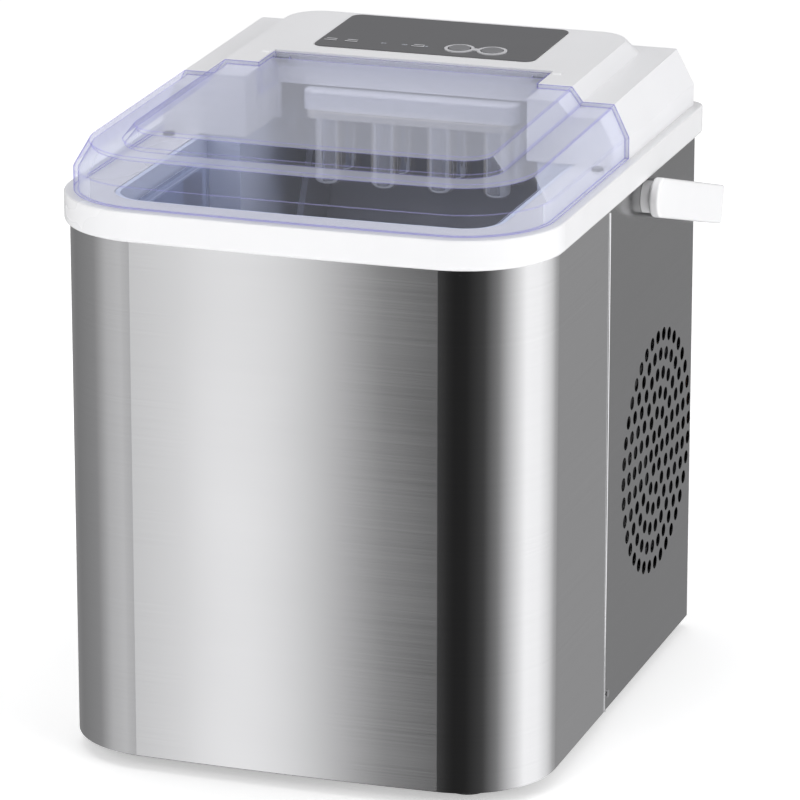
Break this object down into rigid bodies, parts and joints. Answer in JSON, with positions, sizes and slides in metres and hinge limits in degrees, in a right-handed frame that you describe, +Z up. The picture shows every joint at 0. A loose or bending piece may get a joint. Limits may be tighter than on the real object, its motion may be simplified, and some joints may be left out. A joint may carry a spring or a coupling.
{
  "type": "ice maker",
  "caption": "Countertop bullet ice maker: steel-wrapped case, white top frame, clear stepped lid on a rear hinge, ice basket, control panel, side vent and swing-up carry handle.",
  "frame": {"origin": "middle of the machine's footprint, the stored handle included, on the surface that it stands on", "axes": "+Z up, front of the machine faces -Y, +X to the right as seen from the front"},
  "size_m": [0.236, 0.286, 0.288],
  "materials": {
    "white_plastic": "smooth moulded",
    "cover_plastic": "smooth moulded",
    "grey_plastic": "fine texture",
    "tub_plastic": "satin",
    "tray_plastic": "satin",
    "fan_plastic": "satin",
    "rubber": "matt",
    "silicone": "matt",
    "front_steel": "horizontal grain",
    "rear_steel": "satin",
    "screw_steel": "bright",
    "dark_screw": "black oxide",
    "zinc_steel": "zinc plated",
    "black_steel": "gloss paint",
    "foam": "foamed",
    "panel_dark": "gloss",
    "panel_pale": "satin",
    "button_grey": "satin",
    "led_clear": "clear",
    "board_green": "lacquered",
    "lid_clear": "clear, faint violet",
    "basket_clear": "translucent grey",
    "plate_metal": "warm satin",
    "finger_chrome": "bright",
    "fin_metal": "satin",
    "copper": "copper",
    "brass": "satin",
    "sensor_dark": "dark clear"
  },
  "bodies": {
    "casing": {"base_tray": "grey_plastic", "rubber_feet": "rubber", "front_wrap": "front_steel", "rear_wrap": "rear_steel", "case_screws": "screw_steel", "top_frame": "white_plastic", "frame_screws": "dark_screw", "inner_tub": "tub_plastic", "insulation_foam": "foam", "rear_top_cover": "cover_plastic", "control_overlay": "panel_dark", "button_bezel": "panel_pale", "indicator_leds": "led_clear", "control_board": "board_green", "handle_pivot_pins": "screw_steel", "handle_hubs": "white_plastic", "evaporator_plate": "plate_metal", "evaporator_fingers": "finger_chrome", "evaporator_coil": "copper", "evaporator_cap": "tub_plastic", "tray_bushings": "white_plastic", "tray_motor": "grey_plastic", "ice_full_sensors": "sensor_dark", "level_sensor": "sensor_dark", "compressor": "black_steel", "compressor_plate": "zinc_steel", "compressor_mounts": "rubber", "relay_cover": "grey_plastic", "condenser_fins": "fin_metal", "condenser_tube": "copper", "fan_shroud": "grey_plastic", "fan_motor": "zinc_steel", "discharge_pipe": "copper", "suction_pipe": "copper", "filter_drier": "copper", "hot_gas_valve": "brass", "water_pump": "grey_plastic", "pump_hose": "silicone", "drain_spout": "grey_plastic", "cord_gland": "grey_plastic"},
    "lid": {"clear_lid": "lid_clear", "lid_hinge_pins": "screw_steel"},
    "handle": {"carry_handle": "white_plastic"},
    "power_button": {"power_button": "button_grey"},
    "select_button": {"select_button": "button_grey"},
    "fan": {"fan_blade": "fan_plastic", "fan_shaft": "screw_steel"},
    "tray": {"water_tray": "tray_plastic", "tray_pins": "screw_steel", "ice_pusher": "tray_plastic"},
    "basket": {"ice_basket": "basket_clear"},
    "drain_cap": {"drain_cap": "grey_plastic", "drain_seal": "silicone"}
  },
  "joints": [
    {"name": "lid_hinge", "type": "hinge", "parent": "casing", "child": "lid", "pos_m": [0, 0.03244, 0.28258], "axis": [-1, 0, 0], "range_deg": [0, 88]},
    {"name": "handle_swing", "type": "hinge", "parent": "casing", "child": "handle", "pos_m": [0, 0.03594, 0.232], "axis": [1, 0, 0], "range_deg": [0, 100]},
    {"name": "power_button_press", "type": "slide", "parent": "casing", "child": "power_button", "axis": [0, 0.0209, -0.9998], "range_m": [0, 0.0008], "stiffness_N_per_m": 400, "springref_m": -0.0004},
    {"name": "select_button_press", "type": "slide", "parent": "casing", "child": "select_button", "axis": [0, 0.0209, -0.9998], "range_m": [0, 0.0008], "stiffness_N_per_m": 400, "springref_m": -0.0004},
    {"name": "fan_spin", "type": "hinge", "parent": "casing", "child": "fan", "pos_m": [0.0933, 0.06194, 0.105], "axis": [1, 0, 0], "continuous": true},
    {"name": "tray_tilt", "type": "hinge", "parent": "casing", "child": "tray", "pos_m": [0, 0.07594, 0.246], "axis": [-1, 0, 0], "range_deg": [0, 62]},
    {"name": "basket_lift", "type": "slide", "parent": "casing", "child": "basket", "axis": [0, 0, 1], "range_m": [0, 0.014]},
    {"name": "drain_cap_turn", "type": "hinge", "parent": "casing", "child": "drain_cap", "pos_m": [-0.04, -0.10056, 0.004], "axis": [0, 0, 1], "range_deg": [0, 90]}
  ]
}
